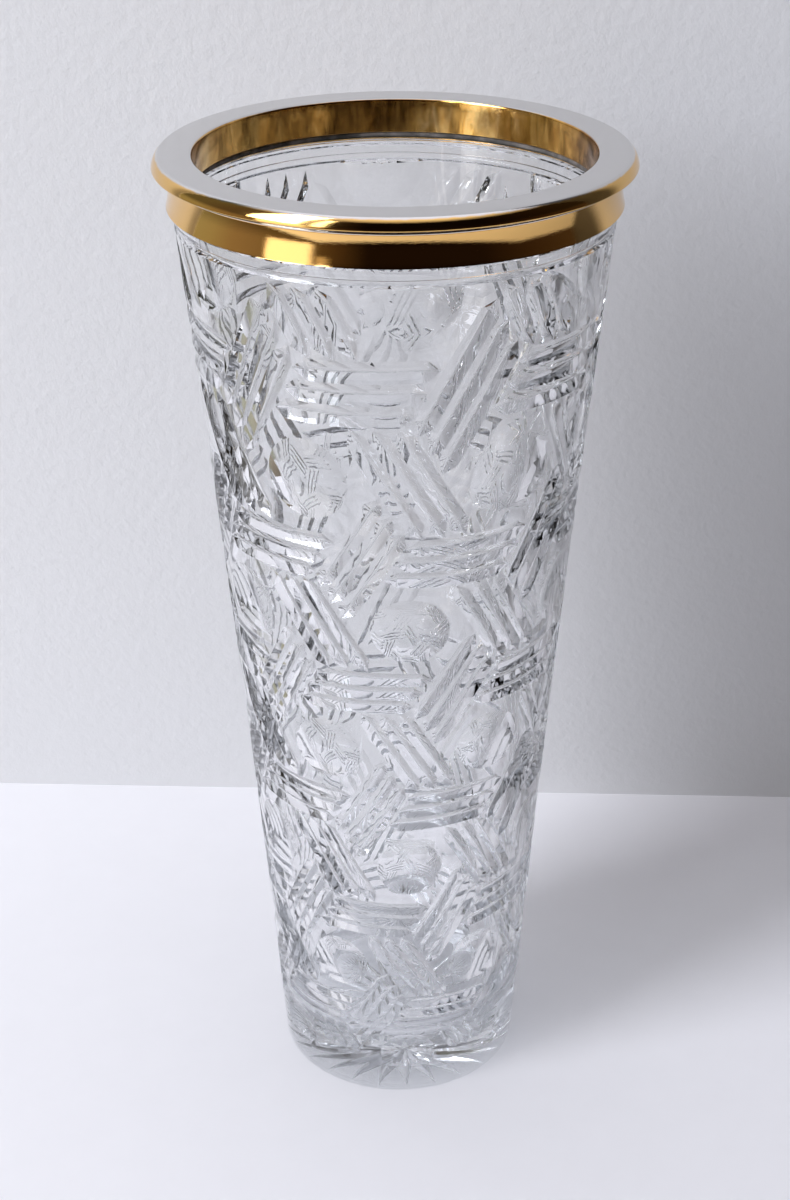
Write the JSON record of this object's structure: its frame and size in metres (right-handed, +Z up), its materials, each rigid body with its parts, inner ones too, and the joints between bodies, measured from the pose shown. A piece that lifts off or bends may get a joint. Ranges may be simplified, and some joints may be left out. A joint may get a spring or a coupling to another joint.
{
  "type": "cut crystal vase",
  "caption": "Tall tapered vase of thick clear cut crystal with a star-cut base and a gilt metal rim mount, for cut flowers.",
  "frame": {"origin": "centre of the flat base, on the surface that the vase stands on", "axes": "+Z up along the vase's axis, -Y towards the viewer"},
  "size_m": [0.1336, 0.1336, 0.3],
  "materials": {
    "lead_crystal": "clear polished lead crystal with deep polished mitre cuts and ground ball hollows",
    "gilt_band": "polished gold plating, mirror bright with fine scratches",
    "worn_gilt_flange": "polished top face with the gilding worn back to pale silver, gold left on the rolled lip",
    "gilt_collar": "satin gold plating with rubbed vertical streaks",
    "setting_plaster": "matt grey setting plaster, slightly stained"
  },
  "bodies": {
    "root": {"crystal_body": "lead_crystal", "rim_outer_band": "gilt_band", "rim_top_flange": "worn_gilt_flange", "rim_inner_collar": "gilt_collar", "setting_cement": "setting_plaster"}
  },
  "joints": []
}
